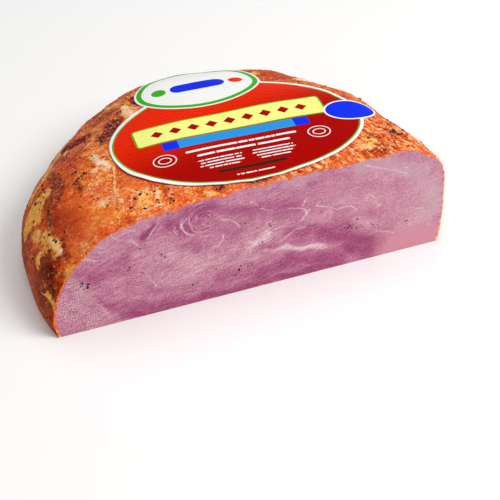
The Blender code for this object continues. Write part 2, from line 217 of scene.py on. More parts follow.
# ---- marks on the cut face: (x, z) in mm from its left lower corner ----
VEINS = (
    ((172, 60), (170, 57), (176, 55), (179, 54), (185, 50), (189, 51), (194, 50), (199, 46)),
    ((164, 66), (162, 63)), ((166, 56), (164, 53), (162, 51), (161, 48)), ((206, 57), (211, 52)),
    ((211, 49), (214, 44), (216, 46)), ((237, 36), (247, 32)), ((215, 23), (221, 20), (227, 17)),
    ((90, 57), (86, 60), (82, 66), (84, 70), (86, 72)), ((84, 73), (83, 68), (84, 63), (90, 57)),
    ((88, 71), (88, 68), (90, 65)), ((107, 65), (114, 63), (120, 55)),
    ((146, 34), (151, 38), (157, 42), (163, 42)), ((127, 74), (131, 70)), ((133, 66), (141, 62)),
    ((151, 61), (161, 58), (164, 55), (162, 50)), ((164, 66), (161, 60)),
    ((109, 52), (109, 49), (106, 45), (102, 44)), ((59, 35), (65, 23)),
    ((79, 68), (78, 65), (80, 61)), ((47, 76), (54, 72)), ((40, 71), (53, 64), (56, 59)),
    ((21, 60), (30, 56)), ((201, 81), (209, 78), (217, 74), (232, 66)), ((230, 71), (237, 73)),
    ((69, 74), (66, 70), (61, 64)),
)
FACE_TONE = 0.52        # how bright it is where nothing changes it
# soft zones of each kind: radius, strength, points of the line through them
ZONES = {
    "dark": (
        (7, 1.0, (175, 32), (188, 26), (201, 19), (211, 14), (217, 9)),
        (6, 1.0, (196, 14), (205, 7), (214, 5)), (8, 0.65, (166, 40), (178, 37), (191, 31)),
        (6, 0.45, (154, 40), (170, 33)), (5, 0.5, (135, 35), (143, 33)),
        (7, 0.8, (133, 9), (146, 14), (155, 18), (161, 16), (170, 12), (187, 8)),
        (6, 0.45, (109, 16), (124, 17)), (4, 0.65, (24, 22), (33, 16), (44, 11), (59, 8), (79, 5)),
        (4.5, 0.9, (43, 5), (59, 2), (109, 2), (150, 3), (190, 2)),
        (5, 0.55, (19, 48), (28, 43), (39, 45), (46, 46)), (6, 0.35, (31, 48), (46, 50)),
        (5.5, 0.75, (84, 72), (88, 78), (94, 79), (101, 77), (106, 71)),
        (4, 0.4, (88, 70), (94, 66)), (2.2, 1.3, (66, 73), (63, 70), (59, 65)),
        (5, 0.45, (83, 52), (98, 45)), (6, 0.35, (110, 57), (118, 53)),
        (4, 0.35, (107, 72), (124, 65), (145, 58)), (7, 0.16, (170, 78), (200, 74)),
        (7, 0.2, (198, 62), (228, 58)), (5, 0.18, (203, 42), (209, 38)),
        (5, 0.5, (92, 74), (108, 71), (126, 67), (159, 61)),
        # the first zone on the next line darkens a strip just above the cut's lower edge: partly the
        # meat's own colour, partly painted shade
        (4.5, 0.34, (60, 21), (73, 17), (86, 14)), (5.0, 0.95, (77, 72), (81, 69), (84, 64)),
    ),
    "pale": (
        (6, 0.5, (20, 17), (16, 26)), (5, 0.3, (120, 25), (131, 25)),
        (6, 0.35, (141, 47), (150, 45)), (5, 0.6, (168, 47), (176, 44)),
        (6, 0.3, (230, 24), (245, 22)), (1.8, 1.7, (153, 28), (160, 26), (168, 24), (177, 21.5)),
        (2.2, 1.2, (128, 39), (134, 41), (141, 45)), (4, 0.25, (95, 60), (106, 57), (116, 55)),
        (2.5, 1.0, (139, 32), (158, 26), (167, 24), (174, 20), (179, 19)),
        (3.2, 0.9, (139, 45), (137, 41), (133, 40), (127, 38)), (2.6, 0.6, (105, 72), (106, 68)),
        (2.4, 0.5, (131, 61), (131, 57)), (2.0, 0.7, (23, 24), (29, 14), (31, 7)),
        (3.0, 0.5, (198, 37), (207, 33)), (1.5, 0.8, (178, 50), (179, 48), (180, 46)),
        (3.0, 0.5, (53, 50), (55, 53)), (1.0, 0.6, (86, 70), (83, 66), (85, 61), (90, 58)),
        (1.2, 0.5, (62, 73), (59, 69)),
    ),
    "ash": (
        (9, 1.0, (200, 82), (216, 78), (240, 66), (251, 48), (253, 32)),
        (5, 0.8, (150, 82), (168, 82)), (7, 0.4, (14, 50), (30, 66), (60, 78)),
    ),
    "plum": (
        (5, 0.8, (84, 74), (90, 78), (100, 76)), (6, 0.7, (108, 56), (120, 53)),
        (5, 1.0, (106, 74), (116, 69), (124, 65), (136, 61), (145, 58), (154, 56)),
        (9, 0.4, (120, 78), (160, 74), (200, 66)),
    ),
    "warm": (
        (12, 1.0, (73, 45), (89, 35), (102, 33), (77, 27)),
        (9, 0.6, (121, 44), (127, 36), (110, 41)), (18, 0.8, (206, 60), (236, 46), (250, 28)),
    ),
    "salmon": (
        (13, 1.0, (226, 5), (240, 5), (258, 4)),
    ),
    "tan": (
        (4, 0.7, (13, 47), (16, 36), (21, 30), (25, 23)),
    ),
    "grain": (
        (9, 1.0, (5, 24), (10, 15), (22, 8)), (6, 0.8, (13, 42), (16, 30)),
    ),
}
SWIRL = (98.0, 69.0)
FACE_SPECKS = (
    (74, 79), (59, 37), (48, 43), (20, 41), (22, 38), (21, 36), (79, 17), (88, 17), (90, 18),
    (103, 25), (70, 48), (120, 20), (119, 18), (117, 16), (58, 57), (140, 52), (141, 50), (133, 37),
    (127, 21), (124, 57), (203, 40), (198, 38), (201, 30), (211, 30), (168, 42), (160, 8),
    (195, 34), (193, 35), (235, 25), (19, 39), (21.5, 40),
)
# the rind's thickness in the cut: all along, and at x with a half width and a change
RIND_THICK = 1.3
RIND_SPOTS = (
    (52, 4, 0.8), (64, 1.6, 1.2), (70, 1.5, 1.8), (80.5, 4, 2.6), (110, 5, 2.4), (135.5, 2.2, 1.7),
    (151.5, 1.7, 2.6), (161.5, 2.4, 1.3), (174, 2.5, 1.0), (185.5, 5, 2.0), (214.3, 1.8, 1.3),
    (125, 4, -1.0), (142, 2, -0.8), (168, 1.5, -1.1), (205, 7, -1.1), (230, 9, -0.7), (34, 6, -0.6),
)

# ---- colours, linear ----
SKIN_RAMP = ((0.00, (0.060, 0.007, 0.006)),      # burnt
             (0.16, (0.160, 0.018, 0.009)),
             (0.34, (0.320, 0.037, 0.010)),      # rust
             (0.50, (0.510, 0.062, 0.013)),
             (0.64, (0.720, 0.100, 0.019)),
             (0.78, (0.870, 0.190, 0.036)),      # bright orange
             (0.90, (0.920, 0.390, 0.110)),
             (1.00, (0.930, 0.660, 0.390)))      # cream
BROWN_RAMP = ((0.25, (0.050, 0.008, 0.006)), (0.45, (0.200, 0.028, 0.013)),
              (0.60, (0.400, 0.072, 0.028)), (0.78, (0.700, 0.240, 0.120)))
WINE_RAMP = ((0.30, (0.030, 0.002, 0.004)), (0.50, (0.140, 0.006, 0.008)),
             (0.66, (0.330, 0.024, 0.016)), (0.80, (0.760, 0.300, 0.240)))
CREAM = (0.880, 0.590, 0.340)
WHITE_FAT = (0.900, 0.760, 0.620)
GOLD = (0.920, 0.430, 0.060)
STRIPE = (0.640, 0.130, 0.018)
RUST = (0.260, 0.030, 0.012)
THREAD = (0.900, 0.560, 0.260)
# colour of the painted highlights: small bright glints dotted over the skin
PAINTED_GLINT = (0.950, 0.720, 0.560)
SPECK = (0.030, 0.018, 0.010)
TO_GOLD = (1.00, 1.20, 0.80)        # factors that shift the hue
TO_RED = (0.96, 0.80, 0.95)
TO_AMBER = (1.04, 0.92, 0.50)
PEPPER = ((0.010, 0.007, 0.005), (0.120, 0.070, 0.040))
HERB = ((0.020, 0.026, 0.010), (0.200, 0.170, 0.060))

FACE_RAMP = ((0.00, (0.300, 0.038, 0.130)),      # dark magenta
             (0.18, (0.390, 0.068, 0.190)),
             (0.38, (0.480, 0.138, 0.258)),
             (0.55, (0.545, 0.225, 0.315)),      # mauve pink
             (0.72, (0.640, 0.310, 0.405)),
             (0.88, (0.740, 0.440, 0.510)),
             (1.00, (0.840, 0.600, 0.630)))      # fat in the grain
PLUM = (0.400, 0.115, 0.240)
SALMON = (0.690, 0.270, 0.350)
TAN = (0.560, 0.330, 0.330)
ASH = (0.590, 0.420, 0.480)
VEIN = (0.820, 0.560, 0.600)

RED_BACK = (0.86, 0.022, 0.001)
RED_FRONT = (0.38, 0.002, 0.001)
RED_DASH = (0.25, 0.002, 0.001)
SKY = (0.020, 0.30, 0.76)
BLUE = (0.006, 0.030, 0.80)
GREEN = (0.045, 0.44, 0.015)
YELLOW = (0.90, 0.94, 0.25)
WHITE = (0.92, 0.92, 0.91)

# ---- print on the label: mm along and across its oval, from its middle ----
PRINT_SIZE = 100.0      # mm for a whole UV square
PRINT_MIDDLE = 1.5      # the label's middle in the UV map
PRINT_EDGE = 0.12       # half the width over which an ink fades out
PRINT_OVER = 0.6        # how far the printed oval reaches over the sheet's own
# plain bars: middle, half sizes, rounding, ink
BARS = ((-7, 66, 19, 6, 6, BLUE), (-34, 66, 5, 5, 5, GREEN), (20, 66, 5, 5, 5, RED_BACK),
        (0, -9, 48, 4.6, 1, BLUE), (0, -9, 38, 4.6, 0.5, SKY),
        (0, 8, 63, 11.5, 3, GREEN), (0, 8, 62, 10.5, 2, YELLOW), (0, -47, 22, 1.4, 1.4, SPECK))
# row of lozenges on the wide bar: its middle across, half length, spacing, half size
LOZENGES = (8.0, 54.0, 12.0, 4.2)
# broken rules: middle, half length and half thickness
RULES = (
    (0, -20.0, 36, 1.0), (0, -26.0, 30, 1.0), (-17, -32.0, 14, 0.55), (-17, -35.0, 13, 0.55),
    (-17, -38.0, 14, 0.55), (-16, -41.0, 10, 0.55), (17, -32.0, 13, 0.55), (17, -35.0, 14, 0.55),
    (17, -38.0, 12, 0.55), (16, -41.0, 10, 0.55), (0, -53.0, 12, 0.55),
)
RINGS = ((-50, -24.0), (50, -24.0))
RING_HALF = (7.5, 6.5)

# ---- camera and lights ----
CAMERA_PLACE = (-0.738047, -1.983559, 2.099858)      # in cut widths from the cut's middle
CAMERA_FORWARD = (0.250842, 0.686991, -0.681998)
CAMERA_RIGHT = (0.93932, -0.34298, 0.0)
CAMERA_LENS = 86.4
SENSOR = 36.0
FLOOR_HALF = 4.0
WORLD_LIGHT = 0.30
LIGHT_AIM = (0, 0, 0.04)
# name, place, size, power, colour
LIGHTS = (("key", (0.80, -0.75, 1.25), 1.0, 20.0, (1.0, 0.985, 0.96)),
          ("left", (-1.00, -0.90, 0.90), 1.0, 1.0, (1.0, 0.99, 0.97)),
          ("top", (0.05, 0.30, 1.60), 1.2, 7.5, (1.0, 1.0, 1.0)))


# ---- the dome ----
def reach(bearing):
    keys = np.radians([row[0] for row in OUTLINE])
    values = np.array([row[1] for row in OUTLINE])
    slopes = np.gradient(values, keys)
    i = np.clip(np.searchsorted(keys, bearing, side="right") - 1, 0, len(keys) - 2)
    span = keys[i + 1] - keys[i]
    t = (bearing - keys[i]) / span
    return ((2 * t**3 - 3 * t**2 + 1) * values[i] + (t**3 - 2 * t**2 + t) * span * slopes[i]
            + (3 * t**2 - 2 * t**3) * values[i + 1] + (t**3 - t**2) * span * slopes[i + 1])


def exponents(bearing):
    c, s = math.cos(bearing), math.sin(bearing)
    side = PROFILE_RIGHT if c > 0 else PROFILE_LEFT
    return tuple(s * s * back + c * c * end for back, end in zip(PROFILE_BACK, side))


def profile(bearing, steps=1200):
    """The side at a bearing: reaches and heights, by the share of the length from the crown."""
    across, up = exponents(bearing)
    turn = np.linspace(0.0, math.pi / 2, steps)
    out = reach(bearing) * np.sin(turn) ** (2 / across)
    rise = CROWN_HEIGHT * np.maximum(np.cos(turn), 0.0) ** (2 / up)
    rise = rise * (1 - CROWN_SINK * out * math.sin(bearing))
    rise[-1] = 0.0
    tuck = TUCK_AT_CUT + (TUCK_AT_BACK - TUCK_AT_CUT) * math.sin(bearing)
    out = out - tuck * np.clip(1 - rise / TUCK_HEIGHT, 0, 1) ** 2
    length = np.concatenate([[0.0], np.cumsum(np.hypot(np.diff(out), np.diff(rise)))])
    return length / length[-1], out, rise


def skin_point(bearing, down):
    length, out, rise = profile(bearing)
    r, z = (float(np.interp(down, length, values)) for values in (out, rise))
    return Vector((r * math.cos(bearing), r * math.sin(bearing), z))


def dome_table(bearings=361, downs=481):
    """Reach and height of the smooth dome over an even grid of bearing and way down."""
    table = np.zeros((bearings, downs, 2))
    even = np.linspace(0, 1, downs)
    for k, bearing in enumerate(np.linspace(0, math.pi, bearings)):
        length, out, rise = profile(bearing)
        table[k] = np.stack([np.interp(even, length, out), np.interp(even, length, rise)], axis=-1)
    return table


def dome_points(bearing, down):
    """Points of the smooth dome for arrays of bearings and ways down."""
    table = dome_table()
    a = bearing / math.pi * (table.shape[0] - 1)
    b = down * (table.shape[1] - 1)
    i = np.clip(a.astype(int), 0, table.shape[0] - 2)
    j = np.clip(b.astype(int), 0, table.shape[1] - 2)
    fa, fb = (a - i)[..., None], (b - j)[..., None]
    mixed = ((1 - fa) * (1 - fb) * table[i, j] + fa * (1 - fb) * table[i + 1, j]
             + (1 - fa) * fb * table[i, j + 1] + fa * fb * table[i + 1, j + 1])
    r, z = mixed[..., 0], mixed[..., 1]
    return np.stack([r * np.cos(bearing), r * np.sin(bearing), z], axis=-1)


def label_axes(x, y):
    """Plan place from the label's middle, along and across its oval."""
    dx, dy = x - LABEL_CENTRE[0], y - LABEL_CENTRE[1]
    c, s = math.cos(LABEL_TURN), math.sin(LABEL_TURN)
    return dx * c + dy * s, -dx * s + dy * c


def oval_reach(turn):
    power = 2 / LABEL_SQUARE
    along, across = np.abs(np.cos(turn)) / LABEL_HALF[0], np.abs(np.sin(turn)) / LABEL_HALF[1]
    return (along**power + across**power) ** (-1 / power)


def label_reach(turn):
    """Distance from the label's middle to its rim, lobes and all."""
    c, s = np.cos(turn), np.sin(turn)
    reached = oval_reach(turn)
    for x, y, along, across in LABEL_LOBES:
        p = (c / along) ** 2 + (s / across) ** 2
        q = c * x / along**2 + s * y / across**2
        under = q * q - p * ((x / along) ** 2 + (y / across) ** 2 - 1)
        far = (q + np.sqrt(np.maximum(under, 0))) / p
        reached = np.where(under > 0, np.maximum(reached, far), reached)
    return reached


def place_in(reach_of, x, y):
    """1 on a rim around the label's middle, less inside it."""
    along, across = label_axes(x, y)
    return np.hypot(along, across) / reach_of(np.arctan2(across, along))


def label_spot(turn, share):
    reached = float(label_reach(turn)) * share
    turn += LABEL_TURN
    return Vector(LABEL_CENTRE) + reached * Vector((math.cos(turn), math.sin(turn)))


def label_turns():
    """Directions of the label's spokes: even ones, and more where the rim steps out."""
    degrees = np.arange(360)
    jump = np.abs(label_reach(np.radians(degrees)) - label_reach(np.radians(degrees + 1)))
    steps = set()
    for turn in degrees[jump > LABEL_STEP].tolist():
        steps |= {turn + k / 4 for k in range(5)}
    for k in range(LABEL_SPOKES):
        turn = 360 * k / LABEL_SPOKES
        if all(abs(turn - step) > 0.6 for step in steps):
            steps.add(turn)
    return [math.radians(turn) for turn in sorted(steps)]


# ---- small tools for fields ----
def noise_at(points, spacing, shift=(0.0, 0.0, 0.0)):
    """Smooth noise, about -0.5 to 0.5, at an array of points."""
    return np.array([noise.noise(p) for p in (points / spacing + np.array(shift)).tolist()])


def ridges_at(points, spacing, shift=(0.0, 0.0, 0.0)):
    """Noise folded into ridges: 1 along its creases, falling to 0."""
    return np.clip(1 - 2.6 * np.abs(noise_at(points, spacing, shift)), 0, 1)


def smooth(value, low, high):
    t = np.clip((value - low) / (high - low), 0, 1)
    return t * t * (3 - 2 * t)


def from_line(points, a, b):
    """Vectors to each point from the nearest place of a straight piece."""
    a, b = np.array(a, float), np.array(b, float)
    along = b - a
    t = np.clip((points - a) @ along / (along @ along), 0, 1)
    return points - a - t[:, None] * along


def line_distance(points, line):
    """Distance of each point from a line of straight pieces."""
    pieces = zip(line[:-1], line[1:])
    return np.min([np.linalg.norm(from_line(points, a, b), axis=1) for a, b in pieces], axis=0)


def blob(points, middle, radius):
    return np.exp(-(np.sum((points - np.array(middle, float)) ** 2, axis=1) / radius**2))


def spread(points, blobs):
    """The largest of some soft spots (middle, radius) at each point."""
    return np.max([blob(points, middle, radius) for middle, radius in blobs], axis=0)


# ---- skin ----
def hidden_patches():
    """Patches for the back and the right flank, like those that show."""
    draw = random.Random(PATCH_SEED)
    made = []
    for _ in range(HIDDEN_PATCHES):
        bearing = math.radians(draw.uniform(4, 118))
        down = draw.uniform(0.66, 0.97)
        point = skin_point(bearing, down) / MM
        bearing += draw.uniform(-0.10, 0.10)
        ahead = skin_point(bearing, down + draw.uniform(-0.05, 0.02)) / MM
        kind = draw.choice(("char_and_shadow", "brown", "brown", "fat", "gold", "gold"))
        made.append((kind, (draw.uniform(2.0, 4.5), tuple(point), tuple(ahead))))
    return made


def seam_fields(p):
    """How far each point lies beside the nearest seam, in half widths, and how close it is.

    The first changes sign across the seam, so that it stays sharp between the mesh's points.
    """
    aside, best = np.zeros(len(p)), np.full(len(p), 1e9)
    outward = p - np.array([0.0, 60.0, 0.0])
    for half, *line in SEAMS:
        for a, b in zip(line[:-1], line[1:]):
            far = np.linalg.norm(from_line(p, a, b), axis=1)
            square = np.cross(p - np.array(a, float), np.subtract(b, a))
            side = np.sign(np.sum(square * outward, axis=1))
            aside = np.where(far < best, side * far / half, aside)
            best = np.minimum(best, far)
    return aside, smooth(best, 4.0, 2.0)


def skin_fields(p):
    """Colour and relief fields of the skin, for points in mm.

    The fields of the areas are depths in mm: above 0 inside an area, below 0 outside.
    """
    drift = np.stack([noise_at(p, 14, (k * 7.1, 3.3, 1.7)) for k in range(3)], axis=1)
    q = p + 3.0 * drift
    fields = {kind: np.full(len(p), -9.0) for kind in AREAS}
    known = [(kind, area) for kind, areas in AREAS.items() for area in areas]
    for kind, (radius, *line) in known + hidden_patches():
        fields[kind] = np.maximum(fields[kind], radius - line_distance(q, line))
    fields["seam"], fields["seam_near"] = seam_fields(p + 1.5 * drift)
    tone = 0.35 + 0.31 * smooth(p[:, 2] / 85.0, 0.25, 0.90)
    tone += 0.20 * noise_at(p, 30, (2.2, 9.1, 4.4))
    for middle, radius, shift in TONES:
        tone += shift * blob(p, middle, radius)
    fields["tone"] = tone + 0.05 * smooth(p[:, 1], 60, 110)
    fields["calm"] = spread(p, CALM)
    fields["crack"] = spread(p, CRACKED)
    back = smooth(p[:, 1], 60, 120) * smooth(noise_at(p, 45, (8.2, 1.1, 6.3)), -0.05, 0.2)
    fields["fibre"] = np.maximum(spread(p, FIBROUS), 0.7 * back)
    return fields


def skin_relief(p, fields):
    """Height of the fine relief in mm."""
    inside_of = {kind: smooth(fields[kind], -1.5, 1.0) for kind in AREAS}
    rough = np.clip(0.30 + inside_of["char_and_shadow"] + 0.8 * fields["fibre"] + 0.5 * inside_of["fat"]
                    + 0.4 * inside_of["brown"] - 0.25 * fields["calm"], 0.05, 1.2)
    out = 0.42 * rough * (ridges_at(p, 9, (5.5, 2.5, 8.5)) - 0.5)
    out += 0.24 * rough * (ridges_at(p, 4.2, (1.5, 7.5, 3.5)) - 0.5)
    out += 0.16 * (1 - 0.6 * fields["calm"]) * noise_at(p, 3.0, (9.5, 4.5, 0.5))
    turned = p @ np.array([[0.80, 0.60, 0.0], [-0.60, 0.80, 0.0], [0.0, 0.0, 1.0]])
    strands = ridges_at(turned * np.array([1.0, 0.22, 1.0]), 2.4, (4.4, 6.6, 2.2))
    out += 0.34 * fields["fibre"] * (strands - 0.5)
    out += 0.30 * inside_of["fat"] + 0.20 * inside_of["gold"] - 0.30 * inside_of["char_and_shadow"]
    return out + 0.30 * fields["seam_near"] * np.exp(-((fields["seam"] / 1.6) ** 2))


def lumps(points):
    """How far the skin stands out of the smooth dome, as in the solid, in metres."""
    height, spacing = BROAD_LUMPS
    out = height * noise_at(points, spacing, (3.1, 7.7, 1.9))
    height, spacing = SMALL_LUMPS
    out += height * noise_at(points, spacing, (11.3, 2.2, 5.8))
    rim = np.clip((place_in(oval_reach, points[:, 0], points[:, 1]) - 1.0) / 0.35, 0, 1)
    out *= LUMPS_UNDER_LABEL + (1 - LUMPS_UNDER_LABEL) * rim
    for bearing, down, radius, height in SWELLS:
        out += height * blob(points, skin_point(math.radians(bearing), down), radius)
    return out


def grid_normals(grid):
    """Outward unit normals of a grid of points (rows go back, columns go right)."""
    normal = np.cross(np.gradient(grid, axis=1), np.gradient(grid, axis=0))
    return normal / np.maximum(np.linalg.norm(normal, axis=-1, keepdims=True), 1e-12)


def skin_surface():
    """Grid of the skin's points in the ham's frame, and its fields."""
    u = np.linspace(-1, 1, SKIN_ALONG + 1)[None, :]
    v = np.linspace(0, 1, SKIN_BACK + 1)[:, None]
    x = u * np.sqrt(1 - v * v / 2)
    y = v * np.sqrt(1 - u * u / 2)
    smooth_grid = dome_points(np.arctan2(y, x), np.minimum(np.hypot(x, y), 1.0))
    smooth_grid[0, :, 1] = 0.0
    normals = grid_normals(smooth_grid)
    normals[0, :, 1] = 0.0
    flat = smooth_grid.reshape(-1, 3)
    fields = skin_fields(flat / MM)
    under = smooth(place_in(label_reach, flat[:, 0], flat[:, 1]), 0.98, 1.04)
    fine = skin_relief(flat / MM, fields) * MM * under
    at_cut = smooth(flat[:, 1], 0.0, 2 * MM)
    out = (lumps(flat) + fine * (0.6 + 0.4 * at_cut)) * np.minimum(1, flat[:, 2] / TUCK_HEIGHT)
    points = flat + normals.reshape(-1, 3) * out[:, None]
    points[:, 2] = np.maximum(points[:, 2], 0.0)
    return points.reshape(smooth_grid.shape), fields


# ---- cut face ----
def in_cut(p):
    """(x, z) points as points of the cut plane."""
    return np.stack([p[:, 0], np.zeros(len(p)), p[:, 1]], axis=1)


def on_face(points):
    """Points in metres as (x, z) in mm from the cut face's left lower corner."""
    return points[:, [0, 2]] / MM + np.array([FACE_MIDDLE, 0])


def face_fields(p):
    """Colour fields of the cut face, for (x, z) points in mm from its left lower corner."""
    p3 = in_cut(p)
    drift = np.stack([noise_at(p3, 11, (2.7, 5.1, 0)), noise_at(p3, 11, (8.7, 1.3, 4))], axis=1)
    q = p + 3.5 * drift
    zones = {}
    for kind, rows in ZONES.items():
        zones[kind] = np.max([strength * np.exp(-((line_distance(q, line) / radius) ** 2))
                              for radius, strength, *line in rows], axis=0)
    dark, pale, warm = (zones.pop(kind) for kind in ("dark", "pale", "warm"))
    vein = np.minimum(30.0, np.min([line_distance(p, line) for line in wavy_veins()], axis=0))
    rind = RIND_THICK + 0.5 * noise_at(p3, 4.0, (6.1, 0, 2.2))
    x, z = p.T
    for middle, half, change in RIND_SPOTS:
        rind += change * np.exp(-(((x - middle) / half) ** 2))
    ends = np.maximum(smooth(x, 235, 248), smooth(x, 26, 16))
    rind += ends * (0.1 + 0.6 * smooth(z, 34, 8)) - 0.5 * smooth(x, 244, 254)
    tone = FACE_TONE - 0.46 * dark + 0.36 * pale + 0.15 * warm
    return {"tone": tone, "vein": vein, "rind": rind, **zones}


def inside(points, loop):
    """Which points lie inside a closed loop."""
    found = np.zeros(len(points), bool)
    x, y = points[:, 0], points[:, 1]
    for (x0, y0), (x1, y1) in zip(loop, np.roll(loop, -1, axis=0)):
        if y0 != y1:
            found ^= ((y0 > y) != (y1 > y)) & (x < (x1 - x0) * (y - y0) / (y1 - y0) + x0)
    return found


def wavy_veins():
    """The veins as fine lines that waver a little between their points."""
    lines = []
    for number, line in enumerate(VEINS):
        fine = [line[0]]
        for a, b in zip(line[:-1], line[1:]):
            parts = max(1, round(math.dist(a, b) / VEIN_STEP))
            fine += [tuple(a[k] + (b[k] - a[k]) * n / parts for k in (0, 1))
                     for n in range(1, parts + 1)]
        drifts = [noise.noise_vector((x / 6.0, z / 6.0, number)) for x, z in fine]
        lines.append([(x + 0.9 * drift.x, z + 0.7 * drift.y)
                      for (x, z), drift in zip(fine, drifts)])
    return lines


def fill(loop, extra, chains=()):
    """Triangles inside a loop, through the extra points and along the chains."""
    points = [Vector(p) for p in loop] + [Vector(p) for p in extra]
    edges = [(k, (k + 1) % len(loop)) for k in range(len(loop))]
    for chain in chains:
        start = len(points)
        points += [Vector(p) for p in chain]
        edges += [(start + k, start + k + 1) for k in range(len(chain) - 1)]
    outline = [list(range(len(loop)))]
    found = delaunay_2d_cdt(points, edges, outline, CDT_INSIDE, CDT_JOIN)
    made, _, faces, origins, _, _ = found
    return made, faces, origins


def face_mesh(rim, base_edge):
    """The cut face: interior points, triangles and how they meet the rim."""
    loop = np.concatenate([rim, base_edge])
    low, high = loop.min(axis=0), loop.max(axis=0)
    xs, zs = np.meshgrid(np.arange(low[0], high[0], FACE_CELL),
                         np.arange(low[1] + FACE_CELL / 2, high[1], FACE_CELL * 0.88))
    xs = xs + (np.arange(len(zs)) % 2)[:, None] * FACE_CELL / 2
    spots = np.stack([xs.ravel(), zs.ravel()], axis=1)
    spots = spots[inside(spots, loop)]
    chains = [[((x - FACE_MIDDLE) * MM, z * MM) for x, z in line] for line in wavy_veins()]
    for line in [list(map(tuple, loop)) + [tuple(loop[0])]] + chains:
        spots = spots[line_distance(spots, line) > 0.45 * FACE_CELL]
    return fill(loop.tolist(), spots.tolist(), chains)


# ---- joining everything to one closed mesh ----
def ham_mesh():
    """The whole ham: skin, cut face and base in one closed mesh, with its fields."""
    grid, skin = skin_surface()
    rows, columns = grid.shape[:2]
    index = np.arange(rows * columns).reshape(rows, columns)
    points = list(map(tuple, grid.reshape(-1, 3)))
    quads = np.stack([index[:-1, :-1], index[:-1, 1:], index[1:, 1:], index[1:, :-1]], axis=-1)
    faces = quads.reshape(-1, 4).tolist()
    kinds = [0] * len(faces)

    rim = grid[0][:, [0, 2]]
    steps = round((rim[-1, 0] - rim[0, 0]) / FACE_CELL)
    base_edge = np.zeros((steps - 1, 2))
    base_edge[:, 0] = np.linspace(rim[-1, 0], rim[0, 0], steps + 1)[1:-1]
    border = list(index[0]) + [len(points) + k for k in range(len(base_edge))]
    points += [(x, 0.0, 0.0) for x, _ in base_edge]
    first_inner = len(points)
    made, triangles, origins = face_mesh(rim, base_edge)
    numbers = []
    for place, origin in zip(made, origins):
        old = [k for k in origin if k < len(border)]
        if old:
            numbers.append(border[old[0]])
        else:
            numbers.append(len(points))
            points.append((place.x, 0.0, place.y))
    faces += [[numbers[k] for k in t] for t in triangles]
    kinds += [1] * len(triangles)

    outer = list(index[:, 0]) + list(index[-1, 1:]) + list(index[-2::-1, -1])
    loop = [int(k) for k in outer] + border[columns:]
    made, triangles, origins = fill([points[k][:2] for k in loop], [])
    faces += [[loop[origins[k][0]] for k in t] for t in triangles]
    kinds += [0] * len(triangles)
    return np.array(points), faces, kinds, skin, rows * columns, first_inner


def face_relief(points, first_inner, fields):
    """Push the cut face's inner points a little in and out of the cut plane."""
    p3 = in_cut(on_face(points[first_inner:]))
    f = {k: v[first_inner:] for k, v in fields.items()}
    depth = 0.10 * noise_at(p3 * np.array([0.35, 1, 1.0]), 3.0, (1.2, 0, 3.4))
    depth += 0.16 * noise_at(p3, 16, (4.2, 0, 7.4)) - 0.24 * (f["tone"] - FACE_TONE)
    depth += 0.12 * np.exp(-((f["vein"] / 0.6) ** 2))
    depth += 0.20 * f["grain"] * noise_at(p3, 1.9, (7.7, 0, 2.1))
    points[first_inner:, 1] += depth * smooth(f["edge"], 0.3, 3.0) * MM


def add_field(data, name, values):
    data.attributes.new(name, "FLOAT", "POINT").data.foreach_set("value", values.astype(np.float32))


def object_of(name, points, faces, materials, kinds=None):
    data = bpy.data.meshes.new(name)
    data.from_pydata(list(map(tuple, points)), [], faces)
    for material in materials:
        data.materials.append(material)
    if kinds is not None:
        data.polygons.foreach_set("material_index", kinds)
    data.update()
    item = bpy.data.objects.new(name, data)
    bpy.context.scene.collection.objects.link(item)
    return item


def soften(item):
    item.data.shade_smooth()
    item.data.set_sharp_from_angle(angle=SMOOTH_UNDER)


def make_ham(materials):
    points, faces, kinds, skin, skin_count, first_inner = ham_mesh()
    cut = np.arange(len(points)) >= skin_count
    cut[:SKIN_ALONG + 1] = True
    spots = on_face(points)
    rim = [tuple(p) for p in spots[:SKIN_ALONG + 1]]
    face = {}
    for kind, values in {**face_fields(spots[cut]), "edge": line_distance(spots[cut], rim)}.items():
        face[kind] = np.zeros(len(points))
        face[kind][cut] = values
    face["edge"][:SKIN_ALONG + 1] = 0.0
    base = np.minimum(face["edge"], np.maximum(spots[:, 1], 0.0))
    face_relief(points, first_inner, {**face, "edge": base})
    item = object_of("ham_meat", points, faces, materials, kinds)
    for name, values in skin.items():
        add_field(item.data, name, np.concatenate([values, np.zeros(len(points) - skin_count)]))
    for name, values in face.items():
        add_field(item.data, "face_" + name, values)
    soften(item)
    return item


def tree_of(item):
    points = [vertex.co for vertex in item.data.vertices]
    return BVHTree.FromPolygons(points, [face.vertices for face in item.data.polygons])


# ---- flakes ----
def flake_places(draw):
    """The flakes' places, drawn as in the solid."""
    places = []
    rim = [label_spot(math.tau * k / 180, 1.0) for k in range(180)]

    def near(point, others, apart):
        return any((point - other).length < apart for other in others)

    def try_at(bearing, down):
        if not (0.0 < bearing < math.pi and 0.08 < down < 0.94):
            return False
        point = skin_point(bearing, down)
        if point.y < 0.0035 or place_in(label_reach, point.x, point.y) < 1.0:
            return False
        if near(point.xy, rim, FLAKE_FROM_LABEL) or near(point, places, FLAKE_APART):
            return False
        places.append(point)
        return True

    for bearing, down, wide, number in CLUSTERS:
        left, tries = number, 0
        while left and tries < 400:
            tries += 1
            aside = draw.gauss(0, wide) / PER_RADIAN
            along = draw.gauss(0, wide) / PER_WAY_DOWN
            left -= try_at(math.radians(bearing) + aside, down + along)
    left, tries = SCATTERED, 0
    while left and tries < 4000:
        tries += 1
        bearing = draw.uniform(0.05, math.pi - 0.05)
        down = math.sqrt(draw.uniform(0.10, 0.85))
        if not near(skin_point(bearing, down), places, SCATTERED_APART):
            left -= try_at(bearing, down)
    return places


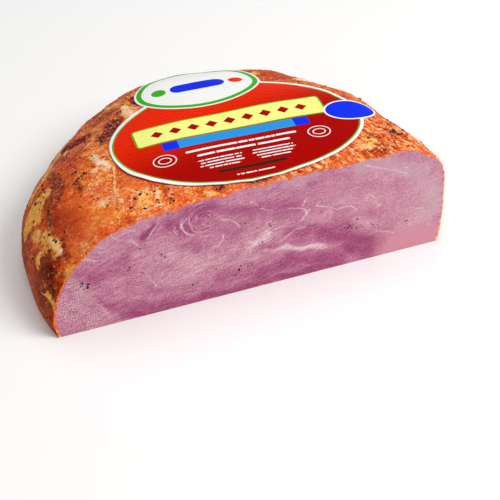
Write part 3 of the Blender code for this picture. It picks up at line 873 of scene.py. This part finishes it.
def fine_places(draw):
    """Places of the finer flakes: round the clusters and all over."""
    spots = []
    for bearing, down, wide, number in CLUSTERS:
        for _ in range(number * FINE_PER_CLUSTER):
            aside = draw.gauss(0, FINE_SPREAD * wide) / PER_RADIAN
            along = draw.gauss(0, FINE_SPREAD * wide) / PER_WAY_DOWN
            spots.append((math.radians(bearing) + aside, down + along))
    for _ in range(FINE_SCATTERED):
        spots.append((draw.uniform(0.02, math.pi - 0.02), math.sqrt(draw.uniform(0.08, 0.92))))
    kept = [skin_point(*spot) for spot in spots
            if 0.01 < spot[0] < math.pi - 0.01 and 0.1 < spot[1] < 0.97]
    return [place for place in kept if place_in(label_reach, place.x, place.y) >= 1.03]


def ball():
    """Points and triangles of a small icosahedron."""
    mesh = bmesh.new()
    bmesh.ops.create_icosphere(mesh, subdivisions=1, radius=1.0)
    mesh.verts.index_update()
    points = [vert.co.copy() for vert in mesh.verts]
    faces = [[vert.index for vert in face.verts] for face in mesh.faces]
    mesh.free()
    return points, faces


def collect(name, flakes, faces, material):
    """Join flakes to one object, with a shade of its own for each."""
    points, all_faces, shades = [], [], []
    for flake, shade in flakes:
        all_faces += [[len(points) + k for k in face] for face in faces]
        points += flake
        shades += [shade] * len(flake)
    item = object_of(name, points, all_faces, [material])
    add_field(item.data, "shade", np.array(shades))
    return item


def make_flakes(ham, pepper, herb):
    """Cracked pepper and herbs on the skin and in the cut."""
    tree = tree_of(ham)
    corners, faces = ball()
    peppers, herbs = [], []

    def flake(draw, place, half, sizes):
        """A jittered flake that lies on the surface near a place."""
        spot, normal, _, _ = tree.find_nearest(place)
        jittered = [corner * draw.uniform(0.85, 1.15) for corner in corners]
        turn = normal.to_track_quat("Z", "Y").to_matrix().to_4x4()
        spin = Matrix.Rotation(draw.uniform(0, math.tau), 4, "Z")
        size = Matrix.Diagonal(Vector((half, half * sizes[0], half * sizes[1]))).to_4x4()
        whole = Matrix.Translation(spot) @ turn @ spin @ size
        return [whole @ corner for corner in jittered]

    draw = random.Random(SEED)
    for place in flake_places(draw):
        half = draw.uniform(*FLAKE_HALF)
        sizes = (draw.uniform(0.55, 0.8), draw.uniform(0.45, 0.6))
        peppers.append((flake(draw, place, half, sizes), draw.random()))
    draw = random.Random(FINE_SEED)
    for place in fine_places(draw):
        if draw.random() < 0.6:
            made = flake(draw, place, draw.uniform(0.3, 0.75) * MM, (0.75, 0.5))
            peppers.append((made, draw.random()))
        else:
            made = flake(draw, place, draw.uniform(0.7, 1.5) * MM, (0.38, 0.22))
            herbs.append((made, draw.random()))
    for speck in SKIN_SPECKS:
        made = flake(draw, Vector(speck) * MM, draw.uniform(0.8, 1.3) * MM, (0.65, 0.4))
        peppers.append((made, 0.4 * draw.random()))
    for x, z in FACE_SPECKS:
        for _ in range(draw.choice((1, 2, 2, 3))):
            place = Vector((x - FACE_MIDDLE + draw.gauss(0, 1.2), 0.0, z + draw.gauss(0, 0.8))) * MM
            made = flake(draw, place, draw.uniform(0.5, 1.0) * MM, (0.65, 0.35))
            (peppers if draw.random() < 0.6 else herbs).append((made, 0.2 + 0.7 * draw.random()))
    return [collect("pepper_flakes", peppers, faces, pepper),
            collect("herb_flakes", herbs, faces, herb)]


# ---- label ----
def above_skin(tree, place, lift):
    """Point at a height over the skin at a plan place, square to the slope."""
    spot, slope = None, Vector()
    for x, y in ((0, 0), (0.004, 0), (-0.004, 0), (0, 0.004), (0, -0.004)):
        above = Vector((place.x + x, place.y + y, 1.0))
        hit, normal, _, _ = tree.ray_cast(above, Vector((0, 0, -1)))
        if hit is not None:
            spot = spot or hit
            slope += normal
    return spot + slope.normalized() * lift


def label_lift(turn, share, place):
    """How far the sheet stands off the skin: a little everywhere, more along its front rim."""
    place = place.to_3d()
    front = smooth(-math.sin(turn + 0.15), -0.2, 0.7)
    ripple = 0.45 + 0.9 * abs(noise.noise(place / 0.021))
    curl = smooth(share, 0.90, 1.0) * (0.12 + front * ripple)
    wave = 0.06 * (1 + noise.noise(place / 0.011))
    return LABEL_GAP + (wave + curl) * MM


def make_label(ham, material):
    """A thin printed sheet over the top, with its flat places as its UV map."""
    tree = tree_of(ham)
    turns = label_turns()
    spokes = len(turns)
    spots = [(0.0, 0.0)]
    for ring in range(1, LABEL_RINGS + 1):
        spots += [(turn, ring / LABEL_RINGS) for turn in turns]
    under, over, flat = [], [], []
    for turn, share in spots:
        place = label_spot(turn, share)
        lift = label_lift(turn, share, place)
        under.append(above_skin(tree, place, lift))
        over.append(above_skin(tree, place, lift + LABEL_THICK))
        flat.append(label_axes(place.x, place.y))
    count = len(spots)
    faces = []
    for k in range(spokes):
        n = (k + 1) % spokes
        faces += [(count, count + 1 + k, count + 1 + n), (0, 1 + n, 1 + k)]
        for ring in range(1, LABEL_RINGS):
            inner, outer = 1 + (ring - 1) * spokes, 1 + ring * spokes
            quad = (inner + k, outer + k, outer + n, inner + n)
            faces += [tuple(count + corner for corner in quad), quad[::-1]]
        a, b = count - spokes + k, count - spokes + n
        faces.append((a, b, count + b, count + a))
    item = object_of("label_sheet", under + over, faces, [material])
    layer = item.data.uv_layers.new(name="print")
    corners = np.zeros(len(item.data.loops), np.int32)
    item.data.loops.foreach_get("vertex_index", corners)
    places = np.array(flat + flat) / (PRINT_SIZE * MM) + PRINT_MIDDLE
    layer.data.foreach_set("uv", places[corners].ravel())
    soften(item)
    return item


# ---- materials ----
class Value:
    """What a shader node gives, for sums and products in plain notation."""

    def __init__(self, graph, socket):
        self.graph, self.socket = graph, socket

    def __add__(self, other):
        return self.graph.math("ADD", self, other)

    def __sub__(self, other):
        return self.graph.math("SUBTRACT", self, other)

    def __rsub__(self, other):
        return self.graph.math("SUBTRACT", other, self)

    def __mul__(self, other):
        return self.graph.math("MULTIPLY", self, other)

    def __abs__(self):
        return self.graph.math("ABSOLUTE", self)

    def about(self, size):
        """A noise value moved to zero and scaled."""
        return (self - 0.5) * size

    def smooth(self, low, high):
        """0 at low and 1 at high, with soft ends."""
        limits = {"Value": self, "From Min": low, "From Max": high}
        return self.graph.node("MapRange", limits, interpolation_type="SMOOTHSTEP")


class Graph:
    """Adds shader nodes and links them."""

    def __init__(self, name):
        self.material = bpy.data.materials.new(name)
        self.material.use_nodes = True
        self.tree = self.material.node_tree
        self.shader = self.tree.nodes["Principled BSDF"]

    def put(self, socket, value):
        """Link a value to an input, or set the input to a number or a colour."""
        if isinstance(value, Value):
            self.tree.links.new(value.socket, socket)
        elif isinstance(value, tuple) and socket.type == "RGBA":
            socket.default_value = (*value, 1.0)
        else:
            socket.default_value = value

    def node(self, kind, inputs, output=0, **settings):
        """One output of a new node with these inputs and settings."""
        node = self.tree.nodes.new("ShaderNode" + kind)
        for name, value in settings.items():
            setattr(node, name, value)
        for key, value in inputs.items():
            self.put(node.inputs[key], value)
        return Value(self, node.outputs[output])

    def math(self, operation, *values):
        return self.node("Math", dict(enumerate(values)), operation=operation)

    def vectors(self, operation, *values):
        return self.node("VectorMath", dict(enumerate(values)), operation=operation)

    def length(self, a, b):
        return self.math("SQRT", a * a + b * b)

    def mix(self, factor, a, b, blend="MIX"):
        return self.node("Mix", {0: factor, 6: a, 7: b}, 2, data_type="RGBA", blend_type=blend)

    def layers(self, colour, *layers):
        """A colour under layers: how much of each, its ink, and the blend where it isn't MIX."""
        for factor, ink, *blend in layers:
            colour = self.mix(factor, colour, ink, *blend)
        return colour

    def ramp(self, value, stops):
        node = self.tree.nodes.new("ShaderNodeValToRGB")
        self.put(node.inputs[0], value)
        points = node.color_ramp.elements
        while len(points) < len(stops):
            points.new(0.5)
        for point, (place, colour) in zip(points, stops):
            point.position = place
            point.color = (*colour, 1.0)
        return Value(self, node.outputs[0])

    def field(self, name):
        return self.node("Attribute", {}, "Fac", attribute_name=name)

    def scaled(self, vector, factors):
        return self.vectors("MULTIPLY", vector, factors)

    def turned(self, vector, angles):
        inputs = {"Vector": vector, "Rotation": angles}
        return self.node("VectorRotate", inputs, rotation_type="EULER_XYZ")

    def place(self):
        """The surface point in millimetres."""
        return self.scaled(self.node("TexCoord", {}, "Object"), (1000.0, 1000.0, 1000.0))

    def vector(self, x, y, z=0.0):
        return self.node("CombineXYZ", {0: x, 1: y, 2: z})

    def parts(self, vector):
        node = self.tree.nodes.new("ShaderNodeSeparateXYZ")
        self.put(node.inputs[0], vector)
        return [Value(self, socket) for socket in node.outputs]

    def noise(self, vector, spacing, detail=3.0, roughness=0.55, distortion=0.0):
        return self.node("TexNoise", {"Vector": vector, "Scale": 1 / spacing, "Detail": detail,
                                      "Roughness": roughness, "Distortion": distortion})

    def warped(self, vector, spacing, amount):
        """The place shifted by smooth noise, so that fields get ragged borders."""
        shift = self.node("TexNoise", {"Vector": vector, "Scale": 1 / spacing}, "Color")
        shift = self.vectors("SUBTRACT", shift, (0.5, 0.5, 0.5))
        return self.vectors("MULTIPLY_ADD", shift, (amount, amount, amount), vector)

    def cells(self, vector, spacing, feature="F1", output="Distance"):
        inputs = {"Vector": vector, "Scale": 1 / spacing}
        return self.node("TexVoronoi", inputs, output, feature=feature)

    def shades(self, vector, spacing):
        """A random value for each cell of a pattern of cells."""
        return self.parts(self.cells(vector, spacing, output="Color"))[0]

    def bump(self, height, distance, strength):
        relief = {"Height": height, "Distance": distance, "Strength": strength}
        self.put(self.shader.inputs["Normal"], self.node("Bump", relief))

    def finish(self, colour, roughness, **constants):
        self.put(self.shader.inputs["Base Color"], colour)
        self.put(self.shader.inputs["Roughness"], roughness)
        for name, value in constants.items():
            self.shader.inputs[name.replace("_", " ")].default_value = value
        return self.material


def skin_material():
    g = Graph("roasted_skin")
    p = g.place()
    x, _, z = g.parts(p)
    big = g.noise(p, 22, 2)
    mid = g.noise(p, 6.5, 4, 0.6, 0.8)
    fine = g.noise(p, 2.4, 3, 0.65)
    grain = g.noise(p, 0.9, 2, 0.6)
    mottle = g.noise(g.warped(p, 5.0, 3.5), 3.4, 4, 0.68, 0.5)
    chips = g.shades(g.warped(p, 2.0, 1.4), 1.8)
    hue = g.noise(g.warped(p, 9.0, 6.0), 12.0, 3, 0.6)
    busy = g.noise(p, 11.0, 2).smooth(0.40, 0.60)
    fibre = g.field("fibre")
    # strands that run from the back towards the cut, and fine lines across the smooth bulge
    along = g.scaled(g.turned(g.warped(p, 15.0, 7.0), (0.0, 0.0, -0.30)), (1.0, 0.13, 1.0))
    strands = g.noise(along, 1.4, 3, 0.60, 0.3)
    shreds = g.noise(g.scaled(along, (1.0, 1.4, 1.0)), 3.4, 2, 0.55, 0.3)
    across = g.scaled(g.turned(g.warped(p, 8.0, 3.0), (0.0, 0.7, 0.0)), (0.30, 1.0, 1.0))
    lines = g.noise(across, 1.6, 3, 0.6)

    ragged = mid.about(7.0) + mottle.about(6.0) + fine.about(3.0) + chips.about(1.2)

    def area(name, low, high):
        """How much a kind of area covers, with a ragged border."""
        return (g.field(name) + ragged).smooth(low, high)

    rough = 1.0 - (g.field("calm") + mid.about(0.5)).smooth(0.15, 0.65) * 0.70
    plain = rough - fibre * 0.42
    tone = (g.field("tone") + big.about(0.25) + lines.about(0.35)
            + plain * (mid.about(0.60) + mottle.about(0.34) + chips.about(0.10))
            + fine.about(0.44) * (busy + 0.4) + grain.about(1.15) * (plain - 0.05)
            + fibre * (strands.about(1.7) + shreds.about(1.0) + chips.about(0.16) + 0.03))
    flecks = mottle.smooth(0.585, 0.625) * mid.smooth(0.44, 0.56) * rough
    scorch = mottle.smooth(0.40, 0.35) * mid.smooth(0.54, 0.44) * rough
    speckle = chips.about(0.25) + fine.about(0.9) + grain.about(0.9) + mottle.about(0.9) + 0.5
    gold = g.layers(GOLD, (mottle.smooth(0.48, 0.62), CREAM),
                    (lines.smooth(0.46, 0.38) * 0.80, STRIPE))
    fat = g.layers(GOLD, (fine.smooth(0.34, 0.56), CREAM), (area("fat", 1.2, 3.0), WHITE_FAT))
    seam = abs(g.field("seam") + fine.about(2.6) + mottle.about(1.6)).smooth(1.25, 0.65)
    seam = seam * g.field("seam_near") * (mid.smooth(0.36, 0.52) * 0.45 + 0.45)
    low_left = z.smooth(62.0, 40.0) * x.smooth(-100.0, -120.0)
    cracks = g.cells(g.warped(p, 6.0, 4.5), 11.0, "DISTANCE_TO_EDGE").smooth(0.050, 0.015)
    cracks = cracks * g.noise(p, 9.0, 2).smooth(0.47, 0.60) * g.field("crack").smooth(0.1, 0.6)
    threads = strands.smooth(0.56, 0.63) * mottle.smooth(0.42, 0.52) * fibre
    # painted highlights: small bright dots that stand in for glints of light on the moist skin
    painted_glints = g.cells(p, 2.6).smooth(0.22, 0.12) * g.noise(p, 6.0, 2).smooth(0.50, 0.60)
    pits = g.cells(g.scaled(p, (1.0, 1.0, 1.3)), 4.4).smooth(0.17, 0.10)
    colour = g.layers(
        g.ramp(tone, SKIN_RAMP),
        (hue.smooth(0.50, 0.64) * rough, TO_GOLD, "MULTIPLY"),
        (hue.smooth(0.52, 0.36), TO_RED, "MULTIPLY"),
        (flecks * 0.55, CREAM),
        (scorch * 0.20, RUST),
        (area("brown", -0.8, 1.6) * 0.85, g.ramp(speckle, BROWN_RAMP)),
        (area("gold", -2.2, 1.8) * 0.95, gold),
        (area("fat", -1.0, 1.4) * 0.92, fat),
        (seam, g.mix(mottle.smooth(0.38, 0.54), GOLD, CREAM)),
        (low_left, TO_AMBER, "MULTIPLY"),
        # charred patches, and painted shadow under the label's front rim
        (area("char_and_shadow", -1.4, 0.6) * 0.96, g.ramp(speckle, WINE_RAMP)),
        (cracks * 0.55, CREAM),
        (threads * 0.75, THREAD),
        (painted_glints * 0.60, PAINTED_GLINT),
        (pits * g.noise(p, 7.0, 1).smooth(0.52, 0.60) * 0.90, SPECK))
    g.bump(fine * 0.45 + grain * 0.25 + strands * fibre * 0.5 + mottle * 0.5, 0.0006, 0.5)
    return g.finish(colour, fine.about(0.35) + 0.48, Subsurface_Weight=0.05, Subsurface_Scale=0.002,
                    Specular_IOR_Level=0.02)


def face_material():
    g = Graph("cut_meat")
    p = g.place()
    x, _, z = g.parts(p)
    x = x + FACE_LEFT
    cloud = g.noise(p, 13, 3, 0.6, 0.5)
    mid = g.noise(p, 4.0, 4, 0.6)
    fleck = g.noise(p, 1.4, 3, 0.65)
    grain = g.noise(p, 0.75, 2, 0.6)

    # fibres turn round the swirl and run along the cut elsewhere
    dx, dz = x - SWIRL[0], z - SWIRL[1]
    radius = g.length(dx, dz)
    turning = g.vector(radius * 0.60, g.math("ARCTAN2", dz, dx) * 0.9, cloud * 2.0)
    swirl = g.noise(turning, 1.0, 3, 0.65, 0.8).about(2.4) + 0.44
    near_swirl = (radius + mid.about(12.0)).smooth(19.0, 10.0) * x.smooth(108.0, 96.0)
    sloped = g.turned(g.warped(p, 16.0, 9.0), (0.0, 0.22, 0.0))
    fibres = g.noise(g.scaled(sloped, (0.08, 1.0, 1.0)), 1.0, 3, 0.60, 0.3)
    fibres = fibres * (1.0 - near_swirl) + swirl * near_swirl

    def zone(name, low, high, ragged=0.7):
        """How much a kind of zone covers, with a ragged border."""
        return (g.field("face_" + name) + mid.about(ragged)).smooth(low, high)

    grainy = zone("grain", 0.25, 0.70, 0.6)
    salmon = zone("salmon", 0.05, 1.0, 0.6)
    tone = (g.field("face_tone") + cloud.about(0.42) + mid.about(0.22)
            + fibres.about(1.05) * (1.0 - x.smooth(150.0, 215.0) * 0.5)
            + fleck.about(0.45) + grain.about(1.40) * (grainy * 1.3 + 1.0))
    tone = tone + salmon * 0.6 * (0.66 - tone)
    dots = g.cells(p, 1.9).smooth(0.30, 0.12) * g.noise(p, 9.0, 2).smooth(0.42, 0.58)
    near = g.field("face_vein") + g.noise(p, 2.4, 3).about(0.8)
    broken = g.noise(p, 5.0, 2).smooth(0.42, 0.60)
    deep = g.field("face_rind") - (g.field("face_edge") + fleck.about(1.2))
    rind = mid.about(0.9) + fleck.about(0.9) + x.smooth(240.0, 255.0) * 0.14 + 0.74
    colour = g.layers(
        g.ramp(tone, FACE_RAMP),
        (zone("plum", 0.15, 1.0) * 0.40, PLUM),
        (zone("tan", 0.20, 0.80) * 0.35, TAN),
        (zone("ash", 0.10, 1.0) * 0.42, ASH),
        (salmon * 0.75, SALMON),
        (dots * (grainy * 0.5 + 0.28), VEIN),
        (near.smooth(1.5, 0.2) * 0.12, VEIN),
        (near.smooth(0.46, 0.10) * (broken * 0.62 + 0.30), VEIN),
        (deep.smooth(-0.15, 0.25) * 0.95, g.ramp(rind, SKIN_RAMP)))
    g.bump(fibres * 0.4 + grain * (grainy * 0.8 + 0.3) + fleck * 0.3, 0.0004, 0.5)
    return g.finish(colour, grain.about(0.3) + 0.45, Subsurface_Weight=0.10, Subsurface_Scale=0.002,
                    Specular_IOR_Level=0.30)


def flake_material(name, colours):
    g = Graph(name)
    p = g.place()
    shade = g.field("shade") + g.noise(p, 0.7, 2).about(0.6)
    g.bump(g.noise(p, 0.4, 2), 0.0002, 0.6)
    return g.finish(g.mix(shade.smooth(0.45, 1.15), *colours), 0.55, Specular_IOR_Level=0.15)


def label_material():
    g = Graph("label_print")
    u, v, _ = g.parts(g.node("UVMap", {}, uv_map="print"))
    u, v = ((value - PRINT_MIDDLE) * PRINT_SIZE for value in (u, v))

    def into(middle_u, middle_v, along, across):
        """About how many millimetres a place lies inside an ellipse."""
        du, dv = u - middle_u, v - middle_v
        share = g.length(du * (1 / along), dv * (1 / across))
        slope = g.length(du * (1 / along**2), dv * (1 / across**2))
        return g.math("DIVIDE", (1.0 - share) * share, g.math("MAXIMUM", slope, 1e-5))

    def into_box(middle_u, middle_v, along, across, rounding):
        """How many millimetres a place lies inside a rounded box."""
        du, dv = abs(u - middle_u) - (along - rounding), abs(v - middle_v) - (across - rounding)
        outside = g.length(g.math("MAXIMUM", du, 0.0), g.math("MAXIMUM", dv, 0.0))
        return rounding - (outside + g.math("MINIMUM", g.math("MAXIMUM", du, dv), 0.0))

    def paint(colour, depth, *inks):
        """Inks laid over a colour, each where the depth inside a shape is over its own."""
        return g.layers(colour, *((depth.smooth(start - PRINT_EDGE, start + PRINT_EDGE), ink)
                                  for start, ink in inks))

    oval = into(0, 0, *(size / MM + PRINT_OVER for size in LABEL_HALF))
    plaque, seal, quarter = (into(*(size / MM for size in lobe)) for lobe in LABEL_LOBES)
    rows = g.math("SINE", (v + u * 0.10) * 1.3)
    dashes = g.noise(g.vector(u * 0.5, v * 1.3), 1.0, 2).smooth(0.48, 0.60)
    field = g.layers(RED_BACK, ((v - u * 0.35).smooth(40.0, -30.0), RED_FRONT),
                     (rows.smooth(0.3, 0.9) * dashes * 0.55, RED_DASH))
    colour = paint(WHITE, g.math("MAXIMUM", oval, quarter), (2.0, GREEN), (3.0, field))
    colour = paint(colour, plaque, (0.0, WHITE), (1.5, GREEN), (5.0, WHITE))
    for *shape, ink in BARS:
        colour = paint(colour, into_box(*shape), (0.0, ink))
    middle, half, spacing, size = LOZENGES
    step = g.math("FRACT", u * (1 / spacing) + 100.5) - 0.5        # 0 at each lozenge's middle
    lozenge = size - (abs(step) * spacing + abs(v - middle))
    colour = paint(colour, g.math("MINIMUM", lozenge, half - abs(u)), (0.0, RED_FRONT))
    colour = paint(colour, seal, (0.0, WHITE), (1.2, BLUE))
    for middle_u, middle_v, half, thick in RULES:
        breaks = g.noise(g.vector(u * (0.30 / thick), middle_v), 1.0, 2)
        ink = g.mix(breaks.smooth(0.38, 0.44), field, WHITE)
        colour = paint(colour, into_box(middle_u, middle_v, half, thick, thick), (0.0, ink))
    for ring in RINGS:
        colour = paint(colour, into(*ring, *RING_HALF),
                       (0.0, WHITE), (0.7, RED_FRONT), (3.2, WHITE), (3.9, RED_FRONT))

    p = g.place()
    paper = g.noise(p, 0.6, 3)
    g.bump(g.noise(p, 9.0, 2) + paper * 0.06, 0.0006, 0.35)
    return g.finish(colour, paper.about(0.1) + 0.38, Specular_IOR_Level=0.02)


def floor_material():
    g = Graph("pale_floor")
    colour = g.mix(g.noise(g.place(), 400, 2) * 0.3, (0.90, 0.90, 0.90), (0.88, 0.88, 0.88))
    return g.finish(colour, 0.7, Specular_IOR_Level=0.1, Emission_Color=(1.0, 1.0, 1.0, 1.0),
                    Emission_Strength=0.05)


# ---- stage ----
def make_stage():
    corners = [(x * FLOOR_HALF, y * FLOOR_HALF, 0) for x, y in ((-1, -1), (1, -1), (1, 1), (-1, 1))]
    object_of("floor", corners, [(0, 1, 2, 3)], [floor_material()])
    world = bpy.data.worlds.new("studio")
    world.use_nodes = True
    world.node_tree.nodes["Background"].inputs["Color"].default_value = (1.0, 1.0, 1.0, 1.0)
    world.node_tree.nodes["Background"].inputs["Strength"].default_value = WORLD_LIGHT
    bpy.context.scene.world = world
    for name, place, size, power, tint in LIGHTS:
        light = bpy.data.lights.new(name, "AREA")
        light.shape = "DISK"
        light.size = size
        light.energy = power
        light.color = tint
        item = bpy.data.objects.new(name, light)
        item.location = place
        aim = Vector(LIGHT_AIM) - Vector(place)
        item.rotation_euler = aim.to_track_quat("-Z", "Y").to_euler()
        bpy.context.scene.collection.objects.link(item)


def make_camera(cut_middle):
    """A long lens, 43 degrees up and 20 degrees to the left of the cut face's normal."""
    forward = Vector(CAMERA_FORWARD).normalized()
    right = Vector(CAMERA_RIGHT).normalized()
    up = right.cross(forward).normalized()
    data = bpy.data.cameras.new("camera")
    data.sensor_width = SENSOR
    data.lens = CAMERA_LENS
    data.clip_start, data.clip_end = 0.01, 100.0
    item = bpy.data.objects.new("camera", data)
    turn = Matrix((right, up, -forward)).transposed().to_4x4()
    item.matrix_world = Matrix.Translation(Vector(CAMERA_PLACE) * CUT_WIDTH + cut_middle) @ turn
    bpy.context.scene.collection.objects.link(item)
    bpy.context.scene.camera = item


# ---- everything together ----
def main():
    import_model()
    noise.seed_set(SEED)        # without it the veins waver differently in each run
    bpy.context.scene.view_settings.view_transform = "Standard"
    low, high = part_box("ham")
    ham = make_ham([skin_material(), face_material()])
    flakes = make_flakes(ham, flake_material("cracked_pepper", PEPPER),
                         flake_material("dried_herbs", HERB))
    label = make_label(ham, label_material())
    across = [v.co.x for v in ham.data.vertices]
    middle = (min(across) + max(across)) / 2
    shift = Vector(((low[0] + high[0]) / 2 - middle, low[1], low[2]))
    for piece in (ham, *flakes, label):
        piece.data.transform(Matrix.Translation(shift))
        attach(piece, "root")
    for piece in (ham, *flakes):
        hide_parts("ham")
    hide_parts("label")
    make_stage()
    make_camera(shift)


main()
